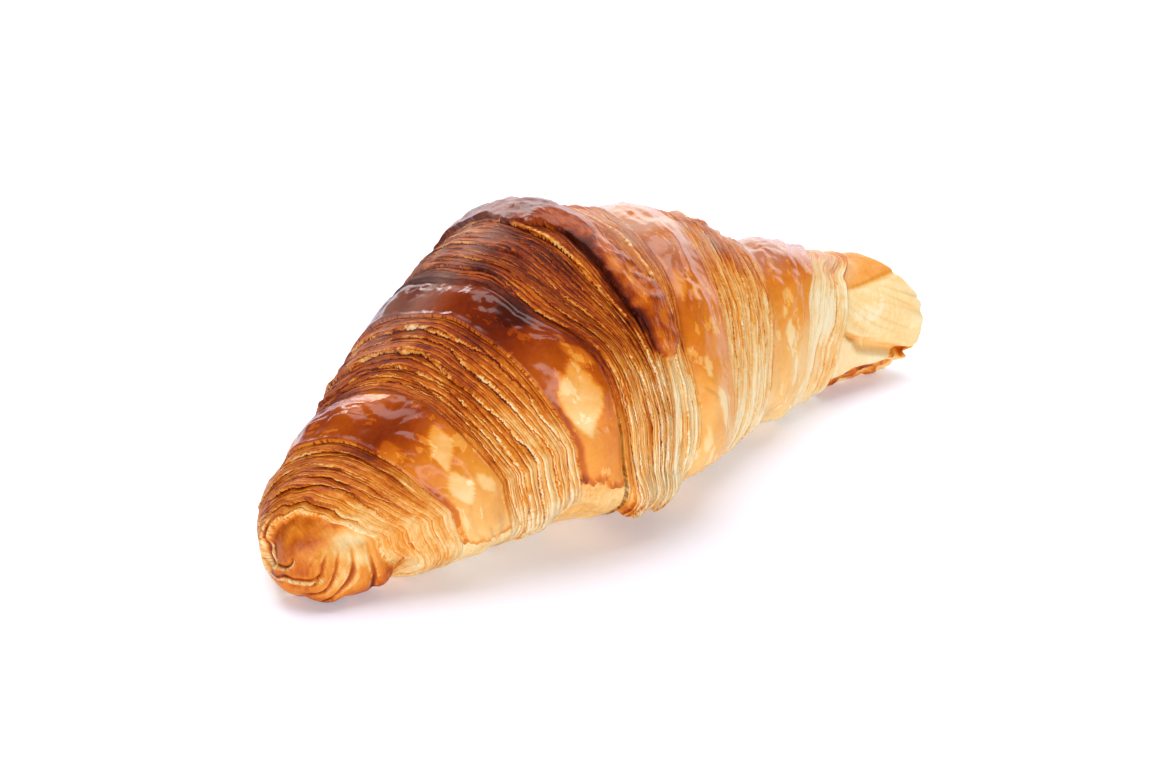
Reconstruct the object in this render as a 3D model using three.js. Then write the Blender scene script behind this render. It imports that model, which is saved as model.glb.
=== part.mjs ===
// A straight butter croissant: one rolled and baked piece of laminated dough.
// Sizes are in millimetres. The roll lies along X on the plane Z = 0, with its spiral tip at -X.
// "Top share" is the place along the top of the roll, from that tip, as a share of the length.
// "Along" is the same after the wraps lean over and stray. "Angle" goes round the roll in degrees:
// 0 on top, 90 at the front (-Y), 180 underneath and -90 at the back.
import * as THREE from "three";

const LENGTH = 179;
const STATIONS = [0, 0.068, 0.173, 0.25, 0.327, 0.42, 0.5, 0.58, 0.654, 0.72, 0.788, 0.884, 1];
const HALF_WIDTHS = [10.5, 14.5, 23, 27.5, 31, 36.5, 37, 30.5, 25.5, 20.5, 17.5, 16, 17.5];
const HEIGHTS = [20, 27.5, 40.5, 51, 61.5, 64.5, 61, 57, 52, 44, 38.5, 29.5, 27];
const CENTRE_SHARE = 0.46; // height of the roll's axis over its base, as a share of the height
const BASE_SQUARENESS = 0.62; // below 1, the underside is fuller than an ellipse
const BASE_SINK = 2.5; // what the flat base takes off the round of the underside
const NEAR_DOME = 0.075; // length of each rounded end, as a share of the length
const NEAR_DOME_POWER = 2.4;
const FAR_DOME = 0.05;
const FAR_DOME_POWER = 3.2;
const NEAR_POLE_FORWARD = 4; // the spiral's centre lies towards the front

const COLUMNS = 50; // points in each ring round the roll
const NEAR_TIP_ROWS = 18;
const FAR_TIP_ROWS = 13;
const SKIN_ROWS = 5;
const TIP_CROWDING = 1.5; // the rows of a tip lie closer together towards its pole

// Each wrap of the rolled triangle shows a smooth skin and then its cut edge, where the plies show.
// A zone ends at a share of the top, and plies is how many ridges a cut edge gets.
// Strays is how far that end strays along the roll at the stray angles.
const STRAY_ANGLES = [-180, -110, -40, 0, 30, 60, 100, 140, 180];
const ZONES = [
  { end: 0.096, strays: [0, 0, 0.006, -0.003, -0.002, 0, 0.008, 0, 0] },
  { end: 0.165, strays: [0, 0, 0, 0.001, 0.002, 0, -0.002, 0, 0] },
  { end: 0.25, plies: 5, strays: [0, 0, 0.017, 0.003, -0.004, -0.004, 0.002, 0, 0] },
  { end: 0.305, strays: [0, 0, 0.011, -0.01, -0.016, 0.016, 0, 0, 0] },
  { end: 0.446, plies: 8, strays: [0, 0, 0, 0, 0, 0, 0, 0, 0] },
  { end: 0.532, plies: 5, strays: [0, 0, 0.011, 0, 0.002, -0.014, 0.02, 0, 0] },
  { end: 0.605, strays: [0, 0, 0, 0, 0, 0.002, 0.024, 0, 0] },
  { end: 0.732, plies: 7, strays: [0, 0, 0, 0, 0, 0.002, 0.01, 0, 0] },
  { end: 0.82, strays: [0, 0, 0.035, 0.025, 0.012, -0.01, -0.008, 0, 0] },
  { end: 0.895, plies: 3, faint: true, strays: [0, 0, 0.03, 0.04, 0.008, 0, -0.003, 0, 0] },
  { end: 1, strays: [0, 0, 0, 0, 0, 0, 0, 0, 0] },
];
const NEAR_TIP_END = ZONES[0].end;
const FAR_LIP = ZONES[ZONES.length - 2].end;
const MIDDLE = 0.446; // the wraps of the two halves face away from here

// The wraps slope round the roll, forwards on the near half and back on the far half.
const LEAN = 0.72;
const LEAN_TURN = 35;
const NEAR_LEAN = 0.0865;
const LEAN_CHANGE = 0.15;

const LIP_RISE = 1.1; // the skin's outer edge over the plies beside it
const SKIN_BULGE = 0.7;
const CREASE_DEPTH = 1; // where a skin meets the cut edge of the next wrap
const PLY_RELIEF = 0.6;
const FAINT_SHARE = 0.4;
const LUMP = 0.5;

// The border between the spiral's heart and the plies that wind round it, as a top share at each angle.
const HEART_ANGLES = [-180, -110, -30, 10, 30, 55, 70, 90, 110, 130, 180];
const HEART_EDGE = [0.012, 0.01, 0.009, 0.019, 0.03, 0.038, 0.044, 0.047, 0.05, 0.046, 0.012];
const HEART_DEPTH = 1.5;
const SPIRAL_PLIES = 4;
const SPIRAL_CALM = 0.7; // how much fainter its plies are at the back
// The gathered dough in front of the spiral, and the notch beside it.
const FOOT = { topShare: 0.03, reach: 0.02, angle: 104, turn: 34, rise: 1.7 };
const NOTCH = { topShare: 0.066, reach: 0.022, angle: 122, turn: 24, depth: 3 };

// The triangle's point lies over the middle, from the back to the front.
// Its centre line and half width are top shares.
const TONGUE_ANGLES = [-180, -60, -35, -5, 12, 28, 45, 56, 64, 180];
const TONGUE_CENTRE = [0.44, 0.44, 0.447, 0.43, 0.442, 0.446, 0.457, 0.463, 0.458, 0.458];
const TONGUE_HALF = [0.05, 0.05, 0.04, 0.036, 0.022, 0.025, 0.034, 0.03, 0.022, 0.022];
const TONGUE_END = 66;
const TONGUE_ROUND = 10; // degrees over which its end is rounded
const TONGUE_RISE = 2.5;
const TONGUE_FAR_SIDE = 0.6; // how much of that rise its far side has

// The far tip is a fan of folds. Each side of it comes out by a share of the draw, from 0 to more than 1.
const FAR_ANGLES = [-180, -120, -60, 0, 40, 70, 95, 110, 128, 180];
const FAR_LEVELS = [0, 0.3, 0.45, 0.55, 1, 1.05, 1.12, 0.85, 0.35, 0.1];
const FAR_DRAW = 0.06;
const FAR_START = 0.9;
const FAR_STEP = 1.5; // how far the far tip lies inside the last wrap
const FAR_BULGE = 1.3;
const LOWER_BULGE = 0.5;
// Each crease between the folds lies at an angle, turns on towards the end, and has a half width and a depth.
const UPPER_CREASE = { angle: 46, turn: -12, half: 5, depth: 0.5 };
const LOWER_CREASE = { angle: 79, turn: 40, half: 11, depth: 1.5 };
const FOOT_CREASE = { angle: 126, turn: 0, half: 9, depth: 1.2 };
const BACK_CREASE = { angle: -70, turn: 0, half: 16, depth: 0.8 };
const CREASES = [UPPER_CREASE, LOWER_CREASE, FOOT_CREASE, BACK_CREASE];

// The outer wrap's loose end sticks out at the foot of the front.
const TAB = { start: 0.404, end: 0.48, top: 100, foot: 131, rise: 2.4 };
// Soft hollows: place and reach along the roll, angle and reach round it.
const HOLLOWS = [
  { along: 0.078, reach: 0.034, angle: -62, turn: 42, depth: 2.6 },
  { along: 0.35, reach: 0.045, angle: 128, turn: 36, depth: 3.2 },
  { along: 0.52, reach: 0.05, angle: 128, turn: 36, depth: 3 },
  { along: 0.7, reach: 0.045, angle: 128, turn: 36, depth: 2.6 },
];

const RADIANS = Math.PI / 180;
const clamp = (x, low, high) => Math.min(high, Math.max(low, x));

function ease(low, high, x) {
  const t = clamp((x - low) / (high - low), 0, 1);
  return t * t * (3 - 2 * t);
}

// 1 at the centre of a bump and 0 at its reach and beyond.
function bump(x, centre, reach) {
  const t = clamp(Math.abs(x - centre) / reach, 0, 1);
  return (1 - t * t) ** 2;
}

// A smooth course through the values given at some angles.
function course(angles, values, x) {
  const i = clamp(angles.findIndex((a) => a > x) - 1, 0, angles.length - 2);
  return values[i] + (values[i + 1] - values[i]) * ease(angles[i], angles[i + 1], x);
}

// A monotone cubic through the values given at the stations.
function profile(values, x) {
  const last = STATIONS.length - 2;
  const i = clamp(STATIONS.findIndex((s) => s >= x) - 1, 0, last);
  const slope = (k) => (values[k + 1] - values[k]) / (STATIONS[k + 1] - STATIONS[k]);
  const tangent = (k) => {
    if (k === 0) return slope(0);
    if (k > last) return slope(last);
    const [a, b] = [slope(k - 1), slope(k)];
    return a * b <= 0 ? 0 : (2 * a * b) / (a + b);
  };
  const width = STATIONS[i + 1] - STATIONS[i];
  const t = (x - STATIONS[i]) / width;
  return (
    values[i] * (1 + 2 * t) * (1 - t) ** 2 +
    tangent(i) * width * t * (1 - t) ** 2 +
    values[i + 1] * t * t * (3 - 2 * t) +
    tangent(i + 1) * width * t * t * (t - 1)
  );
}

// From 0 at each end of the roll to 1 where its dome ends.
function rounding(along) {
  const near = clamp(1 - along / NEAR_DOME, 0, 1);
  const far = clamp(1 - (1 - along) / FAR_DOME, 0, 1);
  const dome = (t, power) => (1 - t ** power) ** (1 / power);
  return dome(near, NEAR_DOME_POWER) * dome(far, FAR_DOME_POWER);
}

function reach(along, angle) {
  const past = clamp((along - FAR_START) / (1 - FAR_START), 0, 1);
  const level = 0.5 + (course(FAR_ANGLES, FAR_LEVELS, angle) - 0.5) * ease(0, 0.35, 1 - past);
  return along - FAR_DRAW * past * (1 - level);
}

function leanOver(angle) {
  const wave = (degrees) => Math.sin(degrees * RADIANS) - Math.sin(3 * degrees * RADIANS) / 9;
  return LEAN * (wave(angle - LEAN_TURN) + wave(LEAN_TURN));
}

function leanAlong(topShare) {
  const ends = ease(0, 0.085, topShare) * ease(0, 0.075, 1 - topShare);
  return ends * (NEAR_LEAN - LEAN_CHANGE * ease(0.308, 0.577, topShare));
}

// How far the edges of the zones stray from a plain slope.
function stray(topShare, angle) {
  const i = ZONES.findIndex((zone) => zone.end >= topShare);
  const start = i === 0 ? 0 : ZONES[i - 1].end;
  const t = clamp((topShare - start) / (ZONES[i].end - start), 0, 1);
  const near = i === 0 ? 0 : course(STRAY_ANGLES, ZONES[i - 1].strays, angle);
  return near + (course(STRAY_ANGLES, ZONES[i].strays, angle) - near) * t;
}

function alongRoll(topShare, angle) {
  return clamp(topShare + leanAlong(topShare) * leanOver(angle) + stray(topShare, angle), 0, 1);
}

// The plain loaf: a point of the roll before any wrap, ply or fold is put on it.
function loaf(topShare, angle) {
  const along = alongRoll(topShare, angle);
  const full = rounding(along);
  const height = profile(HEIGHTS, along);
  const centre = CENTRE_SHARE * height;
  const up = Math.cos(angle * RADIANS);
  const rise = up > 0 ? (height - centre) * up : -(centre + BASE_SINK) * Math.abs(up) ** BASE_SQUARENESS;
  const forward = NEAR_POLE_FORWARD * clamp(1 - along / NEAR_DOME, 0, 1) ** 2;
  return new THREE.Vector3(
    (reach(along, angle) - 0.5) * LENGTH,
    -profile(HALF_WIDTHS, along) * full * Math.sin(angle * RADIANS) - forward,
    centre + rise * full,
  );
}

// The way out of the loaf. Between the tips it lies across the roll.
function loafNormal(topShare, angle) {
  const step = 0.002;
  const low = clamp(topShare, step, 1 - step);
  const lengthwise = loaf(low + step, angle).sub(loaf(low - step, angle));
  const around = loaf(low, angle + 2).sub(loaf(low, angle - 2));
  const normal = around.cross(lengthwise);
  const body = ease(0.08, 0.125, topShare) * ease(0.1, 0.16, 1 - topShare);
  return normal.setX(normal.x * (1 - body)).normalize();
}

// A wandering value from -1 to 1 that closes on itself round the roll.
function wander(seed, angle) {
  const x = angle * RADIANS;
  const phase = seed * 2.399;
  return 0.6 * Math.sin(2 * x + phase) + 0.4 * Math.sin(5 * x + 2.7 * phase);
}

// Soft lumps of the proofed dough.
function lumps(topShare, angle) {
  const x = angle * RADIANS;
  return LUMP * Math.sin(31 * topShare + 2 * x) * Math.cos(17 * topShare - 3 * x);
}

// The skin of a wrap, from its outer lip (0) to the crease under the next wrap (1).
function skinRelief(inward) {
  return LIP_RISE + SKIN_BULGE * Math.sin(Math.PI * inward) - (LIP_RISE + CREASE_DEPTH) * inward * inward;
}

// The rough ground of a cut edge, from the crease (0) up to the next wrap's lip (1).
function plyRelief(inward, ridge, seed, angle) {
  return CREASE_DEPTH * (inward - 1) + ridge * PLY_RELIEF * (0.65 + 0.35 * wander(seed, angle));
}

// The near tip: plies that wind round the spiral's heart, and a foot of gathered dough in front.
function nearTipRelief(topShare, angle) {
  const heart = course(HEART_ANGLES, HEART_EDGE, angle);
  const share = (topShare - heart) / (NEAR_TIP_END - heart);
  const inside = Math.max(0, (heart - topShare) * LENGTH);
  const hollow = -HEART_DEPTH * (1 - 0.5 * ease(0, 6, inside));
  const at = (form) => bump(topShare, form.topShare, form.reach) * bump(angle, form.angle, form.turn);
  const calm = 1 - SPIRAL_CALM * ease(0, 45, -angle);
  const plies = calm * PLY_RELIEF * Math.cos(2 * Math.PI * SPIRAL_PLIES * share) * ease(0, 0.1, share);
  const winding = ease(-0.02, 0.03, share);
  return winding * plies + (1 - winding) * (hollow + FOOT.rise * at(FOOT)) - NOTCH.depth * at(NOTCH);
}

// The far tip: a broad fold over a lower one, coming out from inside the last wrap.
function farTipRelief(share, angle) {
  const at = (crease) => crease.angle + crease.turn * share;
  const groove = (crease) => crease.depth * bump(angle, at(crease), crease.half);
  const [upper, lower, foot] = [at(UPPER_CREASE), at(LOWER_CREASE), at(FOOT_CREASE)];
  const broad = ease(0, 8, angle - upper) * (1 - ease(-10, 0, angle - lower));
  const below = ease(0, 8, angle - lower) * (1 - ease(-8, 0, angle - foot));
  const creases = CREASES.reduce((sum, crease) => sum + groove(crease), 0);
  const swell = FAR_BULGE * broad * bump(angle, (upper + lower) / 2, 42) * ease(0.05, 0.5, share);
  const inside = FAR_STEP * (1 - ease(0.05, 0.6, share));
  const fading = ease(0, 0.2, share) * (1 - ease(0.82, 1, share));
  return swell + LOWER_BULGE * below - inside - creases * fading;
}

// The triangle's point, lying on the wraps. Outside it the value is low, so that they show.
function tongueRelief(topShare, angle) {
  const past = clamp((angle - TONGUE_END + TONGUE_ROUND) / TONGUE_ROUND, 0, 1);
  const half = course(TONGUE_ANGLES, TONGUE_HALF, angle) * Math.sqrt(1 - past * past);
  const side = (topShare - course(TONGUE_ANGLES, TONGUE_CENTRE, angle)) / Math.max(half, 1e-6);
  if (Math.abs(side) > 1) return -10 * CREASE_DEPTH;
  return TONGUE_RISE * (side < 0 ? 1 : TONGUE_FAR_SIDE) * (1 - 0.35 * side ** 4);
}

// The outer wrap's loose end and the soft hollows.
function bodyRelief(along, angle) {
  const side = ease(TAB.start, TAB.start + 0.008, along) * (1 - ease(TAB.end - 0.014, TAB.end, along));
  const face = ease(TAB.top, TAB.top + 12, angle) * (1 - ease(TAB.foot - 4, TAB.foot, angle));
  const hollow = (h) => h.depth * bump(along, h.along, h.reach) * bump(angle, h.angle, h.turn);
  return HOLLOWS.reduce((sum, h) => sum - hollow(h), TAB.rise * side * face);
}

// The rows of points between the tips, and the relief that each has.
function bodyRows() {
  const rows = [];
  ZONES.slice(1, -1).forEach((zone, index) => {
    const start = ZONES[index].end;
    const steps = zone.plies ? 2 * zone.plies : SKIN_ROWS;
    for (let k = 0; k < steps; k++) {
      const share = (k + 0.5) / steps;
      const inward = start >= MIDDLE ? 1 - share : share;
      const topShare = start + share * (zone.end - start);
      const ridge = (k % 2 ? -1 : 1) * (zone.faint ? FAINT_SHARE : 1);
      const seed = index * 10 + Math.floor(k / 2);
      const ground = (angle) => (zone.plies ? plyRelief(inward, ridge, seed, angle) : skinRelief(inward));
      rows.push({ topShare, relief: (angle) => Math.max(ground(angle), tongueRelief(topShare, angle)) });
    }
  });
  return rows;
}

function nearTipRows() {
  const rows = [];
  for (let k = 1; k <= NEAR_TIP_ROWS; k++) {
    const topShare = NEAR_TIP_END * ((k - 0.4) / NEAR_TIP_ROWS) ** TIP_CROWDING;
    rows.push({ topShare, relief: (angle) => nearTipRelief(topShare, angle) });
  }
  return rows;
}

function farTipRows() {
  const rows = [];
  for (let k = FAR_TIP_ROWS; k >= 1; k--) {
    const left = (k - 0.4) / FAR_TIP_ROWS;
    const topShare = 1 - (1 - FAR_LIP) * left ** TIP_CROWDING;
    rows.push({ topShare, relief: (angle) => farTipRelief(1 - left, angle) });
  }
  return rows;
}

// The relief fades out underneath, where the dough lay flat on its tray.
function underFade(angle) {
  return 1 - ease(128, 158, Math.abs(angle));
}

function croissantGeometry() {
  const rows = [...nearTipRows(), ...bodyRows(), ...farTipRows()];
  const positions = [...loaf(0, 0)];
  for (const row of rows) {
    for (let column = 0; column < COLUMNS; column++) {
      const angle = (360 * column) / COLUMNS - 180;
      const point = loaf(row.topShare, angle);
      const along = alongRoll(row.topShare, angle);
      const relief = row.relief(angle) + lumps(row.topShare, angle) + bodyRelief(along, angle);
      point.addScaledVector(loafNormal(row.topShare, angle), relief * underFade(angle));
      positions.push(point.x, point.y, Math.max(0, point.z));
    }
  }
  positions.push(...loaf(1, 0));

  const indices = [];
  const at = (row, column) => 1 + row * COLUMNS + (column % COLUMNS);
  const last = rows.length * COLUMNS + 1;
  for (let column = 0; column < COLUMNS; column++) {
    indices.push(0, at(0, column + 1), at(0, column));
    for (let row = 0; row < rows.length - 1; row++) {
      const [a, b] = [at(row, column), at(row, column + 1)];
      const [c, d] = [at(row + 1, column + 1), at(row + 1, column)];
      indices.push(a, b, c, a, c, d);
    }
    indices.push(last, at(rows.length - 1, column), at(rows.length - 1, column + 1));
  }
  const geometry = new THREE.BufferGeometry();
  geometry.setAttribute("position", new THREE.Float32BufferAttribute(positions, 3));
  geometry.setIndex(indices);
  geometry.computeBoundingBox();
  const centre = geometry.boundingBox.getCenter(new THREE.Vector3());
  geometry.translate(-centre.x, -centre.y, -geometry.boundingBox.min.z);
  geometry.computeVertexNormals();
  return geometry;
}

function crustMaterial() {
  return new THREE.MeshStandardMaterial({ color: 0xc8782e, roughness: 0.4, metalness: 0 });
}

const croissant = new THREE.Mesh(croissantGeometry(), crustMaterial());
croissant.name = "croissant";

const group = new THREE.Group();
group.add(croissant);
export default group;
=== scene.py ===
import math
from collections import namedtuple
from types import SimpleNamespace

import bpy
import numpy as np
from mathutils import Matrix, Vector


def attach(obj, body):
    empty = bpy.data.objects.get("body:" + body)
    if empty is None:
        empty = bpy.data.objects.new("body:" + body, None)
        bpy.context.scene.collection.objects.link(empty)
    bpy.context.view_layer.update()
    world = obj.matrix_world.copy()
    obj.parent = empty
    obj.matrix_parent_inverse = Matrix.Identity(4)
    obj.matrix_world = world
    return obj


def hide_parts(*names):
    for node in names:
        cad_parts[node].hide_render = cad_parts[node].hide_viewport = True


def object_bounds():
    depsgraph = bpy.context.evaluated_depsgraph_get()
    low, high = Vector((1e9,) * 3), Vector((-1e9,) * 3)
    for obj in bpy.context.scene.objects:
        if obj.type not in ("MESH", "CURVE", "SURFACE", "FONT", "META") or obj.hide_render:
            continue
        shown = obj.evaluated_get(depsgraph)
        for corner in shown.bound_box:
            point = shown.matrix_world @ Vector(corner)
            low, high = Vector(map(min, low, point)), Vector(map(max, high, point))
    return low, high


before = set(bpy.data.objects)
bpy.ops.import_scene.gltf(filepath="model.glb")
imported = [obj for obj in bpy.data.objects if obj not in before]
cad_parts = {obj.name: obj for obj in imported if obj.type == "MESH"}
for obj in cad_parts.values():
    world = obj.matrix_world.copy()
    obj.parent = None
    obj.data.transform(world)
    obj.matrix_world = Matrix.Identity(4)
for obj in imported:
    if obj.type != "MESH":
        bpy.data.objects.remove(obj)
cad_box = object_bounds()

# The croissant lies along X on Z = 0, with its spiral tip at -X. Sizes are in millimetres until the mesh is
# made. "Top share" is the place along the top of the roll, from that tip, as a share of the length, and
# "along" is the same after the wraps lean over and stray. "Angle" goes round the roll in degrees: 0 on top,
# 90 at the front (-Y), 180 underneath and -90 at the back.
LENGTH = 179.0
# The plain loaf: its half widths and heights at stations that are shares of the length.
STATIONS = np.array([0, 0.068, 0.173, 0.25, 0.327, 0.42, 0.5, 0.58, 0.654, 0.72, 0.788, 0.884, 1])
HALF_WIDTHS = np.array([10.5, 14.5, 23, 27.5, 31, 36.5, 37, 30.5, 25.5, 20.5, 17.5, 16, 17.5])
HEIGHTS = np.array([20, 27.5, 40.5, 51, 61.5, 64.5, 61, 57, 52, 44, 38.5, 29.5, 27])
CENTRE_SHARE = 0.46  # the widest level, as a share of the height
BASE_SQUARENESS = 0.62
BASE_SINK = 2.5  # how far the underside would dip below the floor
NEAR_DOME = 0.075  # the share of the length over which each tip is rounded
FAR_DOME = 0.05
NEAR_DOME_POWER = 2.4
FAR_DOME_POWER = 3.2
NEAR_POLE_FORWARD = 4.0
MIDDLE = 0.446  # the top share from which the lips of the wraps face the far tip
FAR_DRAW = 0.06  # how far the far tip's shorter folds stay behind, as a share of the length
# How far each side of the far tip comes out, from 0 to about 1.
FAR_ANGLES = np.array([-180, -120, -60, 0, 40, 70, 95, 110, 128, 180])
FAR_LEVELS = np.array([0.0, 0.3, 0.45, 0.55, 1.0, 1.05, 1.12, 0.85, 0.35, 0.1])

# The wraps lean along the roll from its top to its front: one way near the near tip, the other way beyond.
LEAN = 0.72
LEAN_START = 35.0
NEAR_LEAN = 0.0865
LEAN_CHANGE = 0.15
LEAN_CHANGE_START, LEAN_CHANGE_END = 0.308, 0.577
WOBBLE = 0.0025

COLUMNS = 320
NEAR_TIP_ROWS = 120
FAR_TIP_ROWS = 84
SKIN_SPACING = 0.5  # between rows of points
PLY_SPACING = 0.17

# Each zone: its name, where it ends along the top, whether it is a cut edge, how far that end strays along
# the roll at -40, 0, 30, 60 and 100 degrees, and how brown it is at 0, 30, 55, 80 and 105 degrees. The folds
# of the far tip have tones of their own.
Zone = namedtuple("Zone", "name end cut strays browns")
ZONES = [
    Zone("near_tip", 0.096, True, (0.006, -0.003, -0.002, 0.000, 0.008), (0.58, 0.58, 0.50, 0.33, 0.25)),
    Zone("skin_1", 0.165, False, (0.000, 0.001, 0.002, 0.000, -0.002), (0.66, 0.78, 0.50, 0.36, 0.28)),
    Zone("edge_1", 0.250, True, (0.017, 0.003, -0.004, -0.004, 0.002), (0.66, 0.70, 0.61, 0.35, 0.18)),
    Zone("skin_2", 0.305, False, (0.011, -0.010, -0.016, 0.016, 0.000), (0.80, 0.90, 0.68, 0.45, 0.36)),
    Zone("edge_2", 0.446, True, (0.000, 0.000, 0.000, 0.000, 0.000), (0.82, 0.76, 0.62, 0.36, 0.24)),
    Zone("edge_3", 0.532, True, (0.011, 0.000, 0.002, -0.014, 0.020), (0.60, 0.54, 0.44, 0.20, 0.13)),
    Zone("skin_3", 0.605, False, (0.000, 0.000, 0.000, 0.002, 0.024), (0.60, 0.62, 0.52, 0.32, 0.20)),
    Zone("edge_4", 0.732, True, (0.000, 0.000, 0.000, 0.002, 0.010), (0.64, 0.52, 0.34, 0.18, 0.12)),
    Zone("skin_4", 0.820, False, (0.035, 0.025, 0.012, -0.010, -0.008), (0.66, 0.58, 0.43, 0.29, 0.20)),
    Zone("edge_5", 0.895, True, (0.030, 0.040, 0.008, 0.000, -0.003), (0.40, 0.24, 0.07, 0.05, 0.08)),
    Zone("far_tip", 1.000, False, (0.000, 0.000, 0.000, 0.000, 0.000), None),
]
ENDS = np.array([0] + [zone.end for zone in ZONES])
STRAY_ANGLES = np.array([-180, -110, -40, 0, 30, 60, 100, 140, 180])
STRAYS = np.array([[0] * 9] + [[0, 0, *zone.strays, 0, 0] for zone in ZONES])
BROWN_ANGLES = [0, 30, 55, 80, 105, 180]
BACK_SHARE = 0.8  # the back is as brown as the front is at this share of the angle

# Skins: the smooth outside of the wraps, with a lip on the side of the nearer tip.
LIP_RISE = 1.1
LIP_OVERHANG = 0.45
SKIN_BULGE = 0.7
CREASE_DEPTH = 1.0
DENT_DEPTH = 0.50
FOLD_DEPTH = 0.75
LOW_EDGES = {"skin_1": 104, "skin_2": 98}  # the angle at which a skin's free lower edge starts
LOW_EDGE_SLANT = 8
LOW_EDGE_STEP = 1.0

# Cut edges: thick plies with thin leaves on them.
LEDGE_SIZE = 2.1  # the mean width of the plies
LEDGE_STEP = 0.66
LEAF_SIZE = 0.75  # and of the leaves
LEAF_STEP = 0.22
PLY_OVERHANG = 0.25
LIP_PHASE = 64
FAINT_EDGE, FAINT_SHARE = "edge_5", 0.4  # the cut edge whose plies are low

# The near tip. The border between the spiral's heart and the plies that wind round it is a top share at each
# angle.
HEART_ANGLES = np.array([-180, -110, -30, 10, 30, 55, 70, 90, 110, 130, 180])
HEART_EDGE = np.array([0.004, 0.003, 0.004, 0.017, 0.028, 0.036, 0.042, 0.048, 0.052, 0.048, 0.006])
HEART_CENTRE = (0.005, 48.0)  # top share and angle
HEART_DEPTH = 1.5
# Round that centre, as seen from the front of the tip, two rims curl in: the angles, which run clockwise from
# the inner one's free end, the distances in millimetres there, the angle by which each has risen, and the one
# at which it stops.
HOOK_START = -27
INNER_RIM = ([0, 63, 108, 153, 210], [2.1, 3.4, 4.0, 3.7, 5.3], 12, 200)
OUTER_RIM = ([0, 13, 33, 63, 126, 171, 210, 249], [9.0, 8.3, 7.2, 5.9, 5.0, 5.1, 7.0, 9.6], 8, 235)
TIP_ACROSS = np.array([0.783, -0.622, 0.0])
TIP_UP = np.array([0.306, 0.385, 0.870])
WINDING_SIZE = 17.0  # the width that the winding plies share out
WINDING_ROUGHNESS = 0.35
FOOT_RISE = 3.0
PLEAT = 0.0073  # the share of the length between two pleats of the foot
PLEAT_DEPTH = 1.3
NOTCH_DEPTH = 3.0  # of the hollow beside the foot
NOTCH_ANGLE = 122

# The far tip: a broad fold between two others.
FAR_STEP = 1.5
FAR_NECK = 1.3

# The dough triangle's point lies over the middle as a thick tongue: its centre line and half width as top
# shares, from the back to the front, and how brown it is.
TONGUE_ANGLES = np.array([-180, -60, -35, -5, 12, 28, 45, 56, 64, 180])
TONGUE_CENTRE = np.array([0.440, 0.440, 0.447, 0.430, 0.442, 0.446, 0.457, 0.463, 0.458, 0.458])
TONGUE_HALF = np.array([0.050, 0.050, 0.040, 0.036, 0.024, 0.026, 0.039, 0.042, 0.040, 0.040])
TONGUE_END = 66.0
TONGUE_ROUND = 7.0  # degrees over which its end is rounded
TONGUE_RISE = 2.5
TONGUE_TONE_ANGLES = [-180, -60, -10, 8, 30, 50, 60, 66]
TONGUE_TONES = [0.6, 0.82, 0.88, 0.66, 0.62, 0.60, 0.60, 0.66]

# Forms that cross the zones: a tab of dough at the foot of the belly, a rise on top before the far tip, soft
# lumps, and hollows, each with its place and reach along the roll, angle and reach round it, and depth.
TAB_RISE = 2.4
SADDLE_RISE = 1.7
LUMP_DEPTH = 0.5
HOLLOWS = [
    (0.078, 0.034, -62, 42, 2.6),
    (0.350, 0.045, 128, 36, 3.2),
    (0.520, 0.050, 128, 36, 3.0),
    (0.700, 0.045, 128, 36, 2.6),
]

# Patches that baked lighter or darker: top share, angle, half length and half width in millimetres, turn in
# degrees, and change in browning.
SPOTS = [
    (0.138, 55, 2.4, 6.5, 25, -0.22),
    (0.124, 78, 2.2, 5.0, 10, -0.20),
    (0.150, 84, 1.6, 4.0, -10, -0.14),
    (0.104, 40, 1.4, 3.4, 20, -0.14),
    (0.275, 70, 3.8, 9.5, 8, -0.26),
    (0.292, 56, 2.4, 4.5, -20, -0.20),
    (0.290, 30, 4.5, 5.0, 0, 0.14),
    (0.560, 72, 1.1, 3.2, 0, -0.20),
    (0.575, 88, 1.6, 5.0, -15, -0.20),
    (0.548, 96, 1.4, 3.0, 0, -0.14),
    (0.545, 40, 2.2, 5.0, 10, -0.14),
    (0.774, 72, 1.7, 3.0, 0, -0.20),
    (0.790, 92, 1.6, 2.4, 0, -0.14),
    (0.762, 60, 0.9, 1.8, 0, -0.16),
]


# From 0 to 1 between two values, slow at both ends.
def ease(low, high, x):
    t = np.clip((x - low) / (high - low), 0, 1)
    return t * t * (3 - 2 * t)


# A soft bump: 1 at its centre and 0 from its reach on.
def bump(x, centre, reach):
    t = np.clip(np.abs(x - centre) / reach, 0, 1)
    return (1 - t * t) ** 2


# A smooth course through the values given at some angles.
def course(angles, values, x):
    i = np.clip(np.searchsorted(angles, x, side="right") - 1, 0, len(angles) - 2)
    return values[i] + (values[i + 1] - values[i]) * ease(angles[i], angles[i + 1], x)


# Smooth value noise from -1 to 1 over points in space, from a hash of the cell's corners.
def noise(points, seed):
    cell = np.floor(points).astype(np.int64)
    part = points - cell
    part = part * part * (3 - 2 * part)
    total = 0.0
    for corner in range(8):
        offset = np.array([corner & 1, corner >> 1 & 1, corner >> 2])
        at = (cell + offset).astype(np.uint64)
        code = at[..., 0] * np.uint64(73856093) ^ at[..., 1] * np.uint64(19349663)
        code ^= at[..., 2] * np.uint64(83492791) ^ np.uint64(seed * 2654435761 & 0xFFFFFFFF)
        code = (code ^ code >> np.uint64(13)) * np.uint64(1274126177) & np.uint64(0xFFFFFFFF)
        code = (code ^ code >> np.uint64(15)) * np.uint64(2246822519) & np.uint64(0xFFFFFFFF)
        value = (code >> np.uint64(8) & np.uint64(0xFFFF)).astype(float) / 32767.5 - 1
        weight = np.prod(np.where(offset, part, 1 - part), axis=-1)
        total = total + weight * value
    return total


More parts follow.
